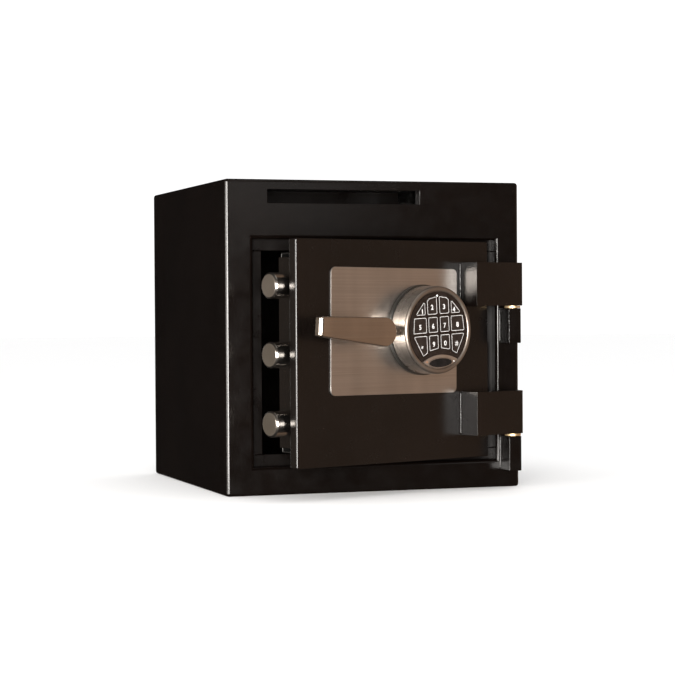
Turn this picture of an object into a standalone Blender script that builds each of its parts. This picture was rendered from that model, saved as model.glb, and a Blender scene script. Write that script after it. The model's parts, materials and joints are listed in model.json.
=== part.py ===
"""Small depository safe: a box-shaped cabinet with a deposit slot, an external-hinged door
standing ajar, a lever that works three locking bolts, and a round electronic keypad.

X runs to the right, Y into the cabinet and Z up. All the sizes below are millimetres.
The door is modelled shut and then turned about its hinge axis, so its sizes read shut.
"""

import math

import bmesh
import bpy
from mathutils import Vector

MM = 0.001

# Cabinet
WIDTH = 355.6
HEIGHT = 355.6
DEPTH = 342.9
WALL = 6.35
JOINT_GAP = 0.3

# Doorway and the stop frame behind it
JAMB_LEFT = 32.8
JAMB_RIGHT = 28.2
SILL = 32.5
HEADER = 67.1
STOP_SHOW = 12.9
STOP_THICK = 3.2
STOP_HIDDEN = 14.0

# Deposit slot and its baffles
SLOT_INSET = 49.6
SLOT_LENGTH = 182.5
SLOT_TOP_DROP = 11.1
SLOT_HEIGHT = 15.5
BAFFLE_THICK = 2.0
BAFFLE_REACH = 62.0
BAFFLE_DROP = 14.0

# Door, cut from the same plate as the cabinet front
DOOR_GAP_LEFT = 5.5
DOOR_GAP_RIGHT = 8.6
DOOR_GAP_TOP = 2.5
DOOR_GAP_BOTTOM = 4.7
DOOR_THICK = 12.7
DOOR_OPEN_DEG = 19.96

# Hinges
AXIS_TO_EDGE = 16.4
AXIS_FORWARD = 19.6
PIN_R = 4.0
PIN_CLEARANCE = 0.06
STRAP_THICK = 27.8
STRAP_SPACING = 98.3
STRAP_MARGIN_LOW = 26.7
STRAP_MARGIN_TOP = 24.4
STRAP_LAP = 43.2
STRAP_PAST_AXIS = 9.2
STRAP_ROUND = 2.4
KNUCKLE_HEIGHT = 40.3
KNUCKLE_WIDTH = 15.4
KNUCKLE_DEPTH = 27.0
WASHER_R = 9.2
WASHER_THICK = 2.4

# Locking bolts and their guide
BOLT_R = 14.5
BOLT_END_MARGIN = 49.4
BOLT_DROP = 1.6
BOLT_LENGTH = 49.0
BOLT_OUT = 13.5
BOLT_THROW = 28.0
BOLT_CHAMFER = 1.5
BOLT_RUNNING = 0.4
GUIDE_SET_BACK = 15.5
GUIDE_THICK = 3.0
GUIDE_FOOT = 34.0
GUIDE_DEPTH = 38.0
GUIDE_MARGIN_LOW = 20.3
GUIDE_MARGIN_TOP = 19.7
CARRIER_WIDTH = 20.0
CARRIER_THICK = 8.0
CARRIER_OVERHANG = 17.0

# Lever handle and its drive
SPINDLE_INSET = 93.9
SPINDLE_RISE = 24.1
SPINDLE_R = 6.0
LEVER_FRONT = 38.0
LEVER_THICK = 11.0
LEVER_REACH = 90.3
LEVER_HUB_R = 16.0
LEVER_TIP_HALF = 10.6
LEVER_TILT_DEG = 4.5
LEVER_BEVEL = 2.2
COLLAR_R = 12.0
TURN_DEG = 70.0
CRANK_PIN_R = 4.0
CRANK_SLACK = 0.6
CAM_THICK = 6.0
CAM_WALL = 6.0

# Trim plate
TRIM_INSET = 46.1
TRIM_WIDTH = 183.9
TRIM_BELOW_SPINDLE = 70.4
TRIM_HEIGHT = 141.2
TRIM_THICK = 1.5
TRIM_CORNER = 6.0
TRIM_TILT_DEG = 0.52

# Keypad. The sizes from KEY_ROUND down are drawn for a window of WINDOW_DRAWN_R
PAD_FROM_SPINDLE = 82.6
PAD_RISE = 1.1
PAD_TILT_DEG = 3.0
PAD_BASE_R = 51.0
PAD_BASE_THICK = 4.5
PAD_GROOVE = 0.8
PAD_R = 49.2
PAD_FRONT = 32.0
PAD_LIP = 6.0
LENS_RECESS = 2.6
LENS_THICK = 1.6
KEY_THICK = 1.2
KEY_PROUD = 0.6
KEY_GAP = 0.35
WINDOW_DRAWN_R = 43.2
KEY_ROUND = 1.6
BADGE_V = -36.6
BADGE_HALF_WIDTH = 17.5
BADGE_HALF_HEIGHT = 5.6
CRESCENT_RIM = 3.2
CRESCENT_HALF = 26.0
LIGHT_V = 38.4
LIGHT_R = 1.1

# Lock behind the keypad
LOCK_WIDTH = 60.0
LOCK_HEIGHT = 84.0
LOCK_DEPTH = 29.0
LOCK_COVER_THICK = 2.0
LOCK_BOLT_WIDTH = 20.0
LOCK_BOLT_THICK = 10.0
LOCK_BOLT_TRAVEL = 9.5
RAMP_CLEARANCE = 1.0
RAMP_PAST_BOLT = 4.0
HARD_PLATE_HALF = 37.0
HARD_PLATE_THICK = 5.0
CABLE_HOLE_R = 5.0

# Door cover and the fixed bar on the hinge side
COVER_BACK = 42.0
COVER_THICK = 1.5
COVER_MARGIN_Z = 14.4
COVER_FROM_GUIDE = 5.5
COVER_TO_BAR = 6.7
DEAD_BAR_LAP = 8.0
DEAD_BAR_GAP = 4.6
DEAD_BAR_THICK = 12.0
DEAD_BAR_FOOT = 16.0
DEAD_BAR_SET_BACK = 4.0
DEAD_BAR_MARGIN_Z = 24.0

# Places that follow from the sizes above
FRONT = -DEPTH / 2
FRONT_THICK = DOOR_THICK
DOORWAY_LEFT = JAMB_LEFT - WIDTH / 2
DOORWAY_RIGHT = WIDTH / 2 - JAMB_RIGHT
DOORWAY_BOTTOM = SILL
DOORWAY_TOP = HEIGHT - HEADER
SLOT_LEFT = SLOT_INSET - WIDTH / 2
AXIS_X = WIDTH / 2 - AXIS_TO_EDGE
AXIS_Y = FRONT - AXIS_FORWARD
DOOR_LEFT = DOORWAY_LEFT + DOOR_GAP_LEFT
DOOR_RIGHT = DOORWAY_RIGHT - DOOR_GAP_RIGHT
DOOR_BOTTOM = DOORWAY_BOTTOM + DOOR_GAP_BOTTOM
DOOR_TOP = DOORWAY_TOP - DOOR_GAP_TOP
DOOR_BACK = FRONT + DOOR_THICK
DOOR_HEIGHT = DOOR_TOP - DOOR_BOTTOM
STRAP_HEIGHT = (DOOR_HEIGHT - STRAP_MARGIN_LOW - STRAP_MARGIN_TOP - STRAP_SPACING) / 2
STRAP_LOW_Z = DOOR_BOTTOM + STRAP_MARGIN_LOW
STRAP_HIGH_Z = DOOR_TOP - STRAP_MARGIN_TOP - STRAP_HEIGHT
BOLT_MIDDLE_Z = (DOOR_BOTTOM + DOOR_TOP) / 2 - BOLT_DROP
BOLT_PITCH = DOOR_HEIGHT / 2 - BOLT_END_MARGIN
SPINDLE_X = DOOR_LEFT + SPINDLE_INSET
SPINDLE_Z = BOLT_MIDDLE_Z + SPINDLE_RISE
TRIM_LEFT = DOOR_LEFT + TRIM_INSET
TRIM_BOTTOM = SPINDLE_Z - TRIM_BELOW_SPINDLE
PAD_X = SPINDLE_X + PAD_FROM_SPINDLE
PAD_Z = SPINDLE_Z + PAD_RISE
WINDOW_R = PAD_R - PAD_LIP
WINDOW_SCALE = WINDOW_R / WINDOW_DRAWN_R
STOP_FRONT = FRONT + FRONT_THICK + JOINT_GAP
STOP_BACK = STOP_FRONT + STOP_THICK
BOLT_Y = STOP_BACK + 0.5 + BOLT_R
BOLT_TIP = DOOR_LEFT - BOLT_OUT
GUIDE_X = DOOR_LEFT + GUIDE_SET_BACK
CARRIER_LEFT = BOLT_TIP + BOLT_LENGTH + JOINT_GAP
CRANK_R = BOLT_THROW / 2 / math.sin(math.radians(TURN_DEG / 2))
CRANK_X = SPINDLE_X - CRANK_R * math.sin(math.radians(TURN_DEG / 2))
CRANK_Z = SPINDLE_Z - CRANK_R * math.cos(math.radians(TURN_DEG / 2))
CARRIER_FRONT = BOLT_Y - CARRIER_THICK / 2
CARRIER_BACK = BOLT_Y + CARRIER_THICK / 2
CAM_FRONT = CARRIER_BACK + 3.0
PAD_BACK = FRONT - TRIM_THICK - 2 * JOINT_GAP
PAD_FLOOR = FRONT - PAD_FRONT + LENS_RECESS
LOCK_FRONT = DOOR_BACK + HARD_PLATE_THICK + 2 * JOINT_GAP
LOCK_BOTTOM = PAD_Z - LOCK_HEIGHT / 2
LOCK_BOLT_Y = BOLT_Y
RAMP_START = PAD_X - LOCK_BOLT_WIDTH / 2 - BOLT_THROW - RAMP_PAST_BOLT
RAMP_END = PAD_X + LOCK_BOLT_WIDTH / 2 + RAMP_PAST_BOLT
BAR_INNER = DOORWAY_RIGHT - STOP_SHOW
BAR_FOOT_RIGHT = BAR_INNER - DEAD_BAR_SET_BACK
BAR_FOOT_LEFT = BAR_FOOT_RIGHT - DEAD_BAR_FOOT
SLOT_Z1 = HEIGHT - SLOT_TOP_DROP
SLOT_Z0 = SLOT_Z1 - SLOT_HEIGHT


def clear_scene():
    for obj in list(bpy.data.objects):
        bpy.data.objects.remove(obj, do_unlink=True)


def material(name, colour, roughness, metallic):
    made = bpy.data.materials.new(name)
    made.use_nodes = True
    shader = made.node_tree.nodes["Principled BSDF"]
    shader.inputs["Base Color"].default_value = (*colour, 1.0)
    shader.inputs["Roughness"].default_value = roughness
    shader.inputs["Metallic"].default_value = metallic
    return made


def finish(name, mesh_builder, look, parent=None):
    """Turn a bmesh in millimetres into an object in metres, hung from its parent if it has one."""
    bmesh.ops.remove_doubles(mesh_builder, verts=mesh_builder.verts, dist=1e-5)
    bmesh.ops.recalc_face_normals(mesh_builder, faces=mesh_builder.faces)
    bmesh.ops.scale(mesh_builder, vec=(MM, MM, MM), verts=mesh_builder.verts)
    mesh = bpy.data.meshes.new(name)
    mesh_builder.to_mesh(mesh)
    mesh_builder.free()
    obj = bpy.data.objects.new(name, mesh)
    bpy.context.scene.collection.objects.link(obj)
    if look is not None:
        mesh.materials.append(look)
    if parent is not None:
        obj.parent = parent
        obj.location = -Vector(parent["shut_at"])
    return obj


def pivot(name, place, parent=None, turn=0.0):
    """An empty at a place given in the shut door's coordinates."""
    empty = bpy.data.objects.new(name, None)
    bpy.context.scene.collection.objects.link(empty)
    empty["shut_at"] = [c * MM for c in place]
    empty.location = [c * MM for c in place]
    if parent is not None:
        empty.parent = parent
        empty.location = Vector(empty["shut_at"]) - Vector(parent["shut_at"])
    empty.rotation_euler = (0.0, 0.0, turn)
    return empty


def box_builder(low, high, rounding=0.0, steps=2):
    builder = bmesh.new()
    bmesh.ops.create_cube(builder, size=1.0)
    size = [b - a for a, b in zip(low, high)]
    middle = [(a + b) / 2 for a, b in zip(low, high)]
    bmesh.ops.scale(builder, vec=size, verts=builder.verts)
    bmesh.ops.translate(builder, vec=middle, verts=builder.verts)
    if rounding:
        bmesh.ops.bevel(
            builder,
            geom=list(builder.edges),
            offset=rounding,
            segments=steps,
            affect="EDGES",
            profile=0.5,
        )
    return builder


def prism_builder(outline, low, high, along="Y", rounding=0.0, steps=2):
    """A flat outline pushed along an axis: (x, z) points along Y, or (x, y) points along Z."""
    builder = bmesh.new()
    if along == "Y":
        verts = [builder.verts.new((u, low, v)) for u, v in outline]
        push = (0.0, high - low, 0.0)
    else:
        verts = [builder.verts.new((u, v, low)) for u, v in outline]
        push = (0.0, 0.0, high - low)
    face = builder.faces.new(verts)
    made = bmesh.ops.extrude_face_region(builder, geom=[face])
    moved = [g for g in made["geom"] if isinstance(g, bmesh.types.BMVert)]
    bmesh.ops.translate(builder, vec=push, verts=moved)
    if rounding:
        axis = 1 if along == "Y" else 2
        rim = [
            e for e in builder.edges
            if abs(e.verts[0].co[axis] - low) < 1e-6 and abs(e.verts[1].co[axis] - low) < 1e-6
        ]
        bmesh.ops.bevel(
            builder, geom=rim, offset=rounding, segments=steps, affect="EDGES", profile=0.5
        )
    return builder


def turned_builder(profile, centre, along="Y", segments=48):
    """A profile of (radius, position) points spun about an axis through a centre."""
    builder = bmesh.new()
    points = [
        builder.verts.new((r, p, 0.0) if along == "Y" else (r, 0.0, p)) for r, p in profile
    ]
    edges = [builder.edges.new((a, b)) for a, b in zip(points, points[1:])]
    if profile[0][0] > 0 and profile[-1][0] > 0:
        edges.append(builder.edges.new((points[-1], points[0])))
    axis = (0.0, 1.0, 0.0) if along == "Y" else (0.0, 0.0, 1.0)
    bmesh.ops.spin(
        builder,
        geom=points + edges,
        cent=(0.0, 0.0, 0.0),
        axis=axis,
        angle=math.tau,
        steps=segments,
        use_merge=True,
    )
    bmesh.ops.remove_doubles(builder, verts=builder.verts, dist=1e-4)
    bmesh.ops.translate(builder, vec=centre, verts=builder.verts)
    return builder


def rod_builder(centre, radius, low, high, along="Y", segments=48, chamfer=0.0):
    if chamfer:
        profile = [
            (0.0, low), (radius - chamfer, low), (radius, low + chamfer),
            (radius, high - chamfer), (radius - chamfer, high), (0.0, high),
        ]
    else:
        profile = [(0.0, low), (radius, low), (radius, high), (0.0, high)]
    return turned_builder(profile, centre, along, segments)


def cut(obj, builder):
    """Take the builder's solid out of the object."""
    cutter = finish("cutter", builder, None)
    cutter.parent = obj.parent
    if obj.parent is not None:
        cutter.location = obj.location
    modifier = obj.modifiers.new("cut", "BOOLEAN")
    modifier.operation = "DIFFERENCE"
    modifier.solver = "EXACT"
    modifier.object = cutter
    bpy.context.view_layer.update()
    graph = bpy.context.evaluated_depsgraph_get()
    mesh = bpy.data.meshes.new_from_object(obj.evaluated_get(graph))
    obj.modifiers.clear()
    mesh.name = obj.name
    obj.data = mesh
    bpy.data.objects.remove(cutter, do_unlink=True)


def arc(cx, cz, radius, start_deg, end_deg, steps):
    return [
        (
            cx + radius * math.cos(math.radians(start_deg + (end_deg - start_deg) * i / steps)),
            cz + radius * math.sin(math.radians(start_deg + (end_deg - start_deg) * i / steps)),
        )
        for i in range(steps + 1)
    ]


def rounded_outline(points, radius, steps=4):
    """Replace each corner of a convex outline by an arc."""
    result = []
    count = len(points)
    for i, corner in enumerate(points):
        here = Vector(corner)
        before = Vector(points[i - 1]) - here
        after = Vector(points[(i + 1) % count]) - here
        half = before.angle(after) / 2
        reach = min(radius / math.tan(half), 0.45 * before.length, 0.45 * after.length)
        start = here + before.normalized() * reach
        end = here + after.normalized() * reach
        r = reach * math.tan(half)
        centre = here + (before.normalized() + after.normalized()).normalized() * (
            r / math.sin(half)
        )
        a0 = math.atan2(start.y - centre.y, start.x - centre.x)
        a1 = math.atan2(end.y - centre.y, end.x - centre.x)
        sweep = (a1 - a0 + math.pi) % math.tau - math.pi
        for k in range(steps + 1):
            a = a0 + sweep * k / steps
            result.append((centre.x + r * math.cos(a), centre.y + r * math.sin(a)))
    return result


def tilted(points, about, degrees):
    """Turn (x, z) points about a centre, anticlockwise as seen from the front."""
    c = math.cos(math.radians(degrees))
    s = math.sin(math.radians(degrees))
    return [
        (
            about[0] + (x - about[0]) * c - (z - about[1]) * s,
            about[1] + (x - about[0]) * s + (z - about[1]) * c,
        )
        for x, z in points
    ]


def on_pad(points):
    """Keypad coordinates, across and up from its middle, to (x, z)."""
    return tilted([(PAD_X + u, PAD_Z + v) for u, v in points], (PAD_X, PAD_Z), PAD_TILT_DEG)


def cabinet_wrap(look):
    low = FRONT + FRONT_THICK + JOINT_GAP
    high = DEPTH / 2 - WALL - JOINT_GAP
    half = WIDTH / 2
    outer = box_builder((-half, low, 0.0), (half, high, HEIGHT))
    wrap = finish("cabinet_wrap", outer, look)
    inside = ((-half + WALL, low - 5.0, WALL), (half - WALL, high + 5.0, HEIGHT - WALL))
    cut(wrap, box_builder(*inside))


def cabinet_back(look):
    half = WIDTH / 2
    finish(
        "cabinet_back",
        box_builder((-half, DEPTH / 2 - WALL, 0.0), (half, DEPTH / 2, HEIGHT)),
        look,
    )


def front_frame(look):
    half = WIDTH / 2
    frame = finish(
        "front_frame",
        box_builder((-half, FRONT, 0.0), (half, FRONT + FRONT_THICK, HEIGHT)),
        look,
    )
    cut(
        frame,
        box_builder(
            (DOORWAY_LEFT, FRONT - 5.0, DOORWAY_BOTTOM),
            (DOORWAY_RIGHT, FRONT + FRONT_THICK + 5.0, DOORWAY_TOP),
        ),
    )
    cut(
        frame,
        box_builder(
            (SLOT_LEFT, FRONT - 5.0, SLOT_Z0),
            (SLOT_LEFT + SLOT_LENGTH, FRONT + FRONT_THICK + 5.0, SLOT_Z1),
        ),
    )


def stop_frame(look):
    left, right = DOORWAY_LEFT - STOP_HIDDEN, DOORWAY_RIGHT + STOP_HIDDEN
    low, high = DOORWAY_BOTTOM - STOP_HIDDEN, DOORWAY_TOP + STOP_HIDDEN
    inner_low = DOORWAY_BOTTOM + STOP_SHOW
    inner_high = DOORWAY_TOP - STOP_SHOW
    bars = {
        "stop_top": (left, right, inner_high, high),
        "stop_bottom": (left, right, low, inner_low),
        "stop_left": (
            left, DOORWAY_LEFT + STOP_SHOW, inner_low + JOINT_GAP, inner_high - JOINT_GAP
        ),
        "stop_right": (
            DOORWAY_RIGHT - STOP_SHOW, right, inner_low + JOINT_GAP, inner_high - JOINT_GAP
        ),
    }
    for name, (x0, x1, z0, z1) in bars.items():
        finish(name, box_builder((x0, STOP_FRONT, z0), (x1, STOP_BACK, z1), 0.4, 1), look)


def slot_baffles(look):
    """Two bent sheets behind the slot that let an envelope down and keep a wire out."""
    x0 = SLOT_LEFT - 6.0
    x1 = SLOT_LEFT + SLOT_LENGTH + 6.0
    y0 = FRONT + FRONT_THICK + JOINT_GAP
    t = BAFFLE_THICK
    reach = y0 + BAFFLE_REACH
    shelf = SLOT_Z0 - JOINT_GAP - t
    lower = [
        (y0, shelf), (y0 + 0.4 * BAFFLE_REACH, shelf), (reach, shelf - BAFFLE_DROP),
        (reach, shelf - BAFFLE_DROP + t), (y0 + 0.4 * BAFFLE_REACH, shelf + t), (y0, shelf + t),
    ]
    roof = HEIGHT - WALL - JOINT_GAP
    hang = reach + 0.22 * BAFFLE_REACH
    upper = [
        (y0 + 0.5 * BAFFLE_REACH, roof - t), (hang - t, roof - t), (hang - t, shelf - BAFFLE_DROP),
        (hang, shelf - BAFFLE_DROP), (hang, roof), (y0 + 0.5 * BAFFLE_REACH, roof),
    ]
    for name, section in (("slot_baffle_lower", lower), ("slot_baffle_upper", upper)):
        builder = bmesh.new()
        face = builder.faces.new([builder.verts.new((x0, y, z)) for y, z in section])
        made = bmesh.ops.extrude_face_region(builder, geom=[face])
        moved = [g for g in made["geom"] if isinstance(g, bmesh.types.BMVert)]
        bmesh.ops.translate(builder, vec=(x1 - x0, 0.0, 0.0), verts=moved)
        finish(name, builder, look)


def hinge_levels():
    return {"lower": STRAP_LOW_Z, "upper": STRAP_HIGH_Z}


def hinge_washer_level(strap_z):
    return strap_z - JOINT_GAP - WASHER_THICK


def knuckles(look, pin_look, washer_look):
    for name, strap_z in hinge_levels().items():
        top = hinge_washer_level(strap_z) - JOINT_GAP
        low = (AXIS_X - KNUCKLE_WIDTH / 2, FRONT - KNUCKLE_DEPTH, top - KNUCKLE_HEIGHT)
        high = (AXIS_X + KNUCKLE_WIDTH / 2, FRONT - JOINT_GAP, top)
        knuckle = finish("knuckle_" + name, box_builder(low, high, 1.0, 2), look)
        pin_low = top - KNUCKLE_HEIGHT * 0.75
        bore = PIN_R + PIN_CLEARANCE
        centre = (AXIS_X, AXIS_Y, 0.0)
        cut(knuckle, rod_builder(centre, bore, pin_low - 1.0, top + 5.0, "Z"))
        pin_high = strap_z + STRAP_HEIGHT * 0.6
        finish(
            "hinge_pin_" + name,
            rod_builder(centre, PIN_R, pin_low, pin_high, "Z", 48, 0.8),
            pin_look,
        )
        level = hinge_washer_level(strap_z)
        ring = [
            (bore, level), (WASHER_R, level),
            (WASHER_R, level + WASHER_THICK), (bore, level + WASHER_THICK),
        ]
        finish("hinge_washer_" + name, turned_builder(ring, centre, "Z"), washer_look)


def hinge_straps(look, door):
    """Blocks on the door face that reach past the pin, relieved behind to clear the cabinet."""
    x0 = DOOR_RIGHT - STRAP_LAP
    x1 = AXIS_X + STRAP_PAST_AXIS
    front = FRONT - STRAP_THICK - JOINT_GAP
    back = FRONT - JOINT_GAP
    swing = AXIS_FORWARD - JOINT_GAP
    dx = STRAP_PAST_AXIS
    start = math.degrees(math.acos(dx / swing))
    relief = arc(AXIS_X, AXIS_Y, swing, start, 90.0, 6)
    corner = STRAP_ROUND
    nose = arc(x1 - corner, front + corner, corner, -90.0, 0.0, 4)
    outline = [(x0, front), *nose, *relief, (x0, back)]
    for name, strap_z in hinge_levels().items():
        strap = finish(
            "hinge_strap_" + name,
            prism_builder(outline, strap_z, strap_z + STRAP_HEIGHT, "Z"),
            look,
            door,
        )
        depth = strap_z + STRAP_HEIGHT * 0.6 + 2.0
        centre = (AXIS_X, AXIS_Y, 0.0)
        cut(strap, rod_builder(centre, PIN_R + PIN_CLEARANCE, strap_z - 5.0, depth, "Z"))


def door_plate(look, door):
    plate = finish(
        "door_plate",
        box_builder((DOOR_LEFT, FRONT, DOOR_BOTTOM), (DOOR_RIGHT, DOOR_BACK, DOOR_TOP), 0.5, 1),
        look,
        door,
    )
    through = (FRONT - 5.0, DOOR_BACK + 5.0)
    cut(plate, rod_builder((SPINDLE_X, 0.0, SPINDLE_Z), SPINDLE_R + 0.3, *through))
    cut(plate, rod_builder((PAD_X, 0.0, PAD_Z), CABLE_HOLE_R, *through, "Y", 24))


def trim_plate(look, door):
    x1 = TRIM_LEFT + TRIM_WIDTH
    z1 = TRIM_BOTTOM + TRIM_HEIGHT
    corners = [(TRIM_LEFT, TRIM_BOTTOM), (x1, TRIM_BOTTOM), (x1, z1), (TRIM_LEFT, z1)]
    middle = ((TRIM_LEFT + x1) / 2, (TRIM_BOTTOM + z1) / 2)
    outline = tilted(rounded_outline(corners, TRIM_CORNER, 6), middle, -TRIM_TILT_DEG)
    back = FRONT - JOINT_GAP
    plate = finish(
        "trim_plate",
        prism_builder(outline, back - TRIM_THICK, back, "Y", 0.3, 1),
        look,
        door,
    )
    through = (back - TRIM_THICK - 5.0, back + 5.0)
    cut(plate, rod_builder((SPINDLE_X, 0.0, SPINDLE_Z), SPINDLE_R + 0.6, *through))
    cut(plate, rod_builder((PAD_X, 0.0, PAD_Z), CABLE_HOLE_R, *through, "Y", 24))


def bolt_levels():
    return {
        "lower": BOLT_MIDDLE_Z - BOLT_PITCH,
        "middle": BOLT_MIDDLE_Z,
        "upper": BOLT_MIDDLE_Z + BOLT_PITCH,
    }


def bolt_guide(look, door):
    """An angle on the door's back whose standing leg holds the three bolts."""
    back = DOOR_BACK + JOINT_GAP
    inner = GUIDE_X + GUIDE_THICK
    section = [
        (GUIDE_X, back), (GUIDE_X + GUIDE_FOOT, back), (GUIDE_X + GUIDE_FOOT, back + GUIDE_THICK),
        (inner, back + GUIDE_THICK), (inner, back + GUIDE_DEPTH), (GUIDE_X, back + GUIDE_DEPTH),
    ]
    guide = finish(
        "bolt_guide",
        prism_builder(section, DOOR_BOTTOM + GUIDE_MARGIN_LOW, DOOR_TOP - GUIDE_MARGIN_TOP, "Z"),
        look,
        door,
    )
    for z in bolt_levels().values():
        builder = rod_builder((0.0, 0.0, 0.0), BOLT_R + BOLT_RUNNING, -10.0, 10.0, "Z", 64)
        bmesh.ops.rotate(
            builder,
            cent=(0.0, 0.0, 0.0),
            matrix=Vector((0.0, 0.0, 1.0)).rotation_difference(Vector((1, 0, 0))).to_matrix(),
            verts=builder.verts,
        )
        bmesh.ops.translate(builder, vec=(GUIDE_X + 1.5, BOLT_Y, z), verts=builder.verts)
        cut(guide, builder)


def locking_bolts(look, slide):
    for name, z in bolt_levels().items():
        builder = rod_builder(
            (0.0, 0.0, 0.0), BOLT_R, 0.0, BOLT_LENGTH, "Z", 64, BOLT_CHAMFER
        )
        bmesh.ops.rotate(
            builder,
            cent=(0.0, 0.0, 0.0),
            matrix=Vector((0.0, 0.0, 1.0)).rotation_difference(Vector((1, 0, 0))).to_matrix(),
            verts=builder.verts,
        )
        bmesh.ops.translate(builder, vec=(BOLT_TIP, BOLT_Y, z), verts=builder.verts)
        finish("locking_bolt_" + name, builder, look, slide)


def ramp_height(x):
    """Top of the carrier's ramp, which starts just under the lock case and falls to the right."""
    return LOCK_BOTTOM - RAMP_CLEARANCE - (x - RAMP_START) * LOCK_BOLT_TRAVEL / BOLT_THROW


def bolt_carrier(look, slide):
    """The plate that carries the bolts, with a slotted arm for the crank and a ramped arm."""
    levels = bolt_levels()
    x0 = CARRIER_LEFT
    x1 = CARRIER_LEFT + CARRIER_WIDTH
    low = levels["lower"] - CARRIER_OVERHANG
    high = levels["upper"] + CARRIER_OVERHANG
    arm_end = CRANK_X + CRANK_PIN_R + CRANK_SLACK + 9.0
    arm_low = SPINDLE_Z - CRANK_R - CRANK_PIN_R - 8.0
    arm_high = SPINDLE_Z - SPINDLE_R - 5.0
    foot_low = ramp_height(RAMP_END) - 14.0
    foot_high = ramp_height(RAMP_END) - 2.0
    outline = [
        (x0, low), (x1, low), (x1, foot_low), (RAMP_END, foot_low),
        (RAMP_END, ramp_height(RAMP_END)), (RAMP_START, ramp_height(RAMP_START)),
        (RAMP_START - 8.0, foot_high), (x1, foot_high), (x1, arm_low), (arm_end, arm_low),
        (arm_end, arm_high), (x1, arm_high), (x1, high), (x0, high),
    ]
    carrier = finish(
        "bolt_carrier", prism_builder(outline, CARRIER_FRONT, CARRIER_BACK), look, slide
    )
    half = CRANK_PIN_R + CRANK_SLACK
    slot = rounded_outline(
        [
            (CRANK_X - half, SPINDLE_Z - CRANK_R - half), (CRANK_X + half, SPINDLE_Z - CRANK_R - half),
            (CRANK_X + half, CRANK_Z + half), (CRANK_X - half, CRANK_Z + half),
        ],
        1.5,
    )
    cut(carrier, prism_builder(slot, CARRIER_FRONT - 5.0, CARRIER_BACK + 5.0))


def lever(look, handle):
    """A tapered lever, widest at the hub, with its long edges rounded."""
    hub = (SPINDLE_X, SPINDLE_Z)
    tip_x = SPINDLE_X - LEVER_REACH
    lean = math.degrees(math.asin((LEVER_HUB_R - LEVER_TIP_HALF) / LEVER_REACH))
    outline = [
        *arc(*hub, LEVER_HUB_R, -90.0 - lean, 90.0 + lean, 20),
        (tip_x + 1.5, SPINDLE_Z + LEVER_TIP_HALF),
        (tip_x, SPINDLE_Z + LEVER_TIP_HALF - 2.0),
        (tip_x, SPINDLE_Z - LEVER_TIP_HALF + 2.0),
        (tip_x + 1.5, SPINDLE_Z - LEVER_TIP_HALF),
    ]
    outline = tilted(outline, hub, -LEVER_TILT_DEG)
    front = FRONT - LEVER_FRONT
    made = finish(
        "handle_lever",
        prism_builder(outline, front, front + LEVER_THICK, "Y", LEVER_BEVEL, 3),
        look,
        handle,
    )
    socket = (front + LEVER_THICK / 2, front + LEVER_THICK + 5.0)
    cut(made, rod_builder((SPINDLE_X, 0.0, SPINDLE_Z), SPINDLE_R + 0.3, *socket))


def handle_drive(chrome, steel, handle):
    """Collar, spindle, cam, crank pin and retaining ring, all on the spindle's axis."""
    centre = (SPINDLE_X, 0.0, SPINDLE_Z)
    bore = SPINDLE_R + 0.3
    lever_back = FRONT - LEVER_FRONT + LEVER_THICK
    front = lever_back + JOINT_GAP
    back = FRONT - TRIM_THICK - 2 * JOINT_GAP
    collar = [
        (bore, front), (COLLAR_R - 1.0, front), (COLLAR_R, front + 1.0),
        (COLLAR_R, back - 3.0), (COLLAR_R + 2.0, back - 1.5), (COLLAR_R + 2.0, back), (bore, back),
    ]
    finish("handle_collar", turned_builder(collar, centre), chrome, handle)
    cam_back = CAM_FRONT + CAM_THICK
    spindle_front = FRONT - LEVER_FRONT + LEVER_THICK / 2 + JOINT_GAP
    finish(
        "handle_spindle",
        rod_builder(centre, SPINDLE_R, spindle_front, cam_back + 4.0, "Y", 48, 0.6),
        steel,
        handle,
    )
    across = (CRANK_X - SPINDLE_X, CRANK_Z - SPINDLE_Z)
    aim = math.degrees(math.atan2(across[1], across[0]))
    outline = [
        *arc(SPINDLE_X, SPINDLE_Z, SPINDLE_R + CAM_WALL, aim + 90.0, aim + 270.0, 14),
        *arc(CRANK_X, CRANK_Z, CRANK_PIN_R + CAM_WALL - 1.0, aim - 90.0, aim + 90.0, 12),
    ]
    cam = finish("drive_cam", prism_builder(outline, CAM_FRONT, cam_back), steel, handle)
    cut(cam, rod_builder(centre, bore, CAM_FRONT - 5.0, cam_back + 5.0))
    pin_centre = (CRANK_X, 0.0, CRANK_Z)
    pin_bore = CRANK_PIN_R + JOINT_GAP
    cut(cam, rod_builder(pin_centre, pin_bore, CAM_FRONT - 5.0, cam_back + 5.0, "Y", 32))
    finish(
        "crank_pin",
        rod_builder(pin_centre, CRANK_PIN_R, CARRIER_FRONT, cam_back, "Y", 32, 0.5),
        steel,
        handle,
    )
    ring = [
        (bore, cam_back + JOINT_GAP), (SPINDLE_R + 3.0, cam_back + JOINT_GAP),
        (SPINDLE_R + 3.0, cam_back + JOINT_GAP + 1.2), (bore, cam_back + JOINT_GAP + 1.2),
    ]
    finish("spindle_ring", turned_builder(ring, centre, "Y", 32), steel, handle)


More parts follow.
